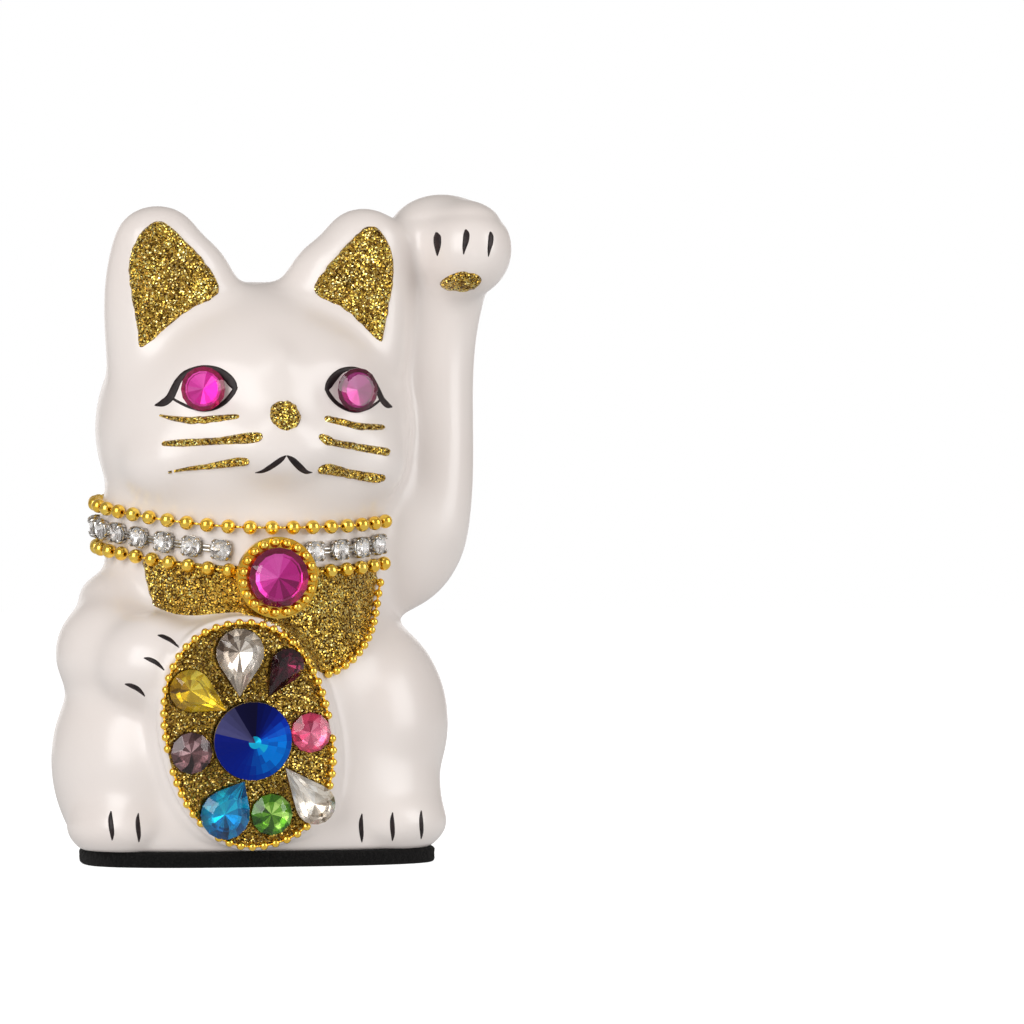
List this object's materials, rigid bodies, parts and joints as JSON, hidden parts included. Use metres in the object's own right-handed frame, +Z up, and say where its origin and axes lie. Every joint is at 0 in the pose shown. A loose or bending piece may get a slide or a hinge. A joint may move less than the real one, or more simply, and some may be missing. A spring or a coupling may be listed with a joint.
{
  "type": "beckoning cat figurine",
  "caption": "Seated glazed ceramic cat with one raised paw, trimmed with gold glitter, ball chain, cup chain and faceted glass stones, on a thin felt pad.",
  "frame": {"origin": "middle of the felt pad's underside", "axes": "+Z up, the cat looks along -Y, its raised left paw is on the +X side"},
  "size_m": [0.0968, 0.0755, 0.1408],
  "materials": {
    "glazed_porcelain": "warm white gloss glaze",
    "black_felt": "short black pile",
    "gold_glitter": "gold glitter flakes in clear glue",
    "gold_plate": "polished gold plate",
    "silver_plate": "polished silver plate",
    "clear_glass": "faceted, foil backed",
    "fuchsia_glass": "faceted, foil backed",
    "blue_glass": "faceted, foil backed",
    "purple_glass": "faceted, foil backed",
    "yellow_glass": "faceted, foil backed",
    "amethyst_glass": "faceted, foil backed",
    "pink_glass": "faceted, foil backed",
    "green_glass": "faceted, foil backed",
    "teal_glass": "faceted, foil backed"
  },
  "bodies": {
    "root": {"body_shell": "glazed_porcelain", "base_pad": "black_felt", "plaque_glitter_bed": "gold_glitter", "plaque_chain_beads": "gold_plate", "plaque_chain_links": "gold_plate", "bib_glitter": "gold_glitter", "bib_chain_beads": "gold_plate", "bib_chain_links": "gold_plate", "collar_upper_beads": "gold_plate", "collar_upper_links": "gold_plate", "collar_lower_beads": "gold_plate", "collar_lower_links": "gold_plate", "cup_chain_cups": "silver_plate", "cup_chain_bars": "silver_plate", "cup_chain_stones": "clear_glass", "ear_glitter_left": "gold_glitter", "ear_glitter_right": "gold_glitter", "whisker_glitter_left": "gold_glitter", "whisker_glitter_right": "gold_glitter", "nose_glitter": "gold_glitter", "paw_pad_glitter": "gold_glitter", "eye_stone_left": "fuchsia_glass", "eye_stone_right": "fuchsia_glass", "pendant_stone": "fuchsia_glass", "pendant_setting": "gold_plate", "pendant_bead_ring": "gold_plate", "rivoli_blue": "blue_glass", "pear_clear_top": "clear_glass", "pear_clear_lower": "clear_glass", "pear_purple": "purple_glass", "pear_yellow": "yellow_glass", "round_amethyst": "amethyst_glass", "round_pink": "pink_glass", "round_green": "green_glass", "pear_teal": "teal_glass"}
  },
  "joints": []
}
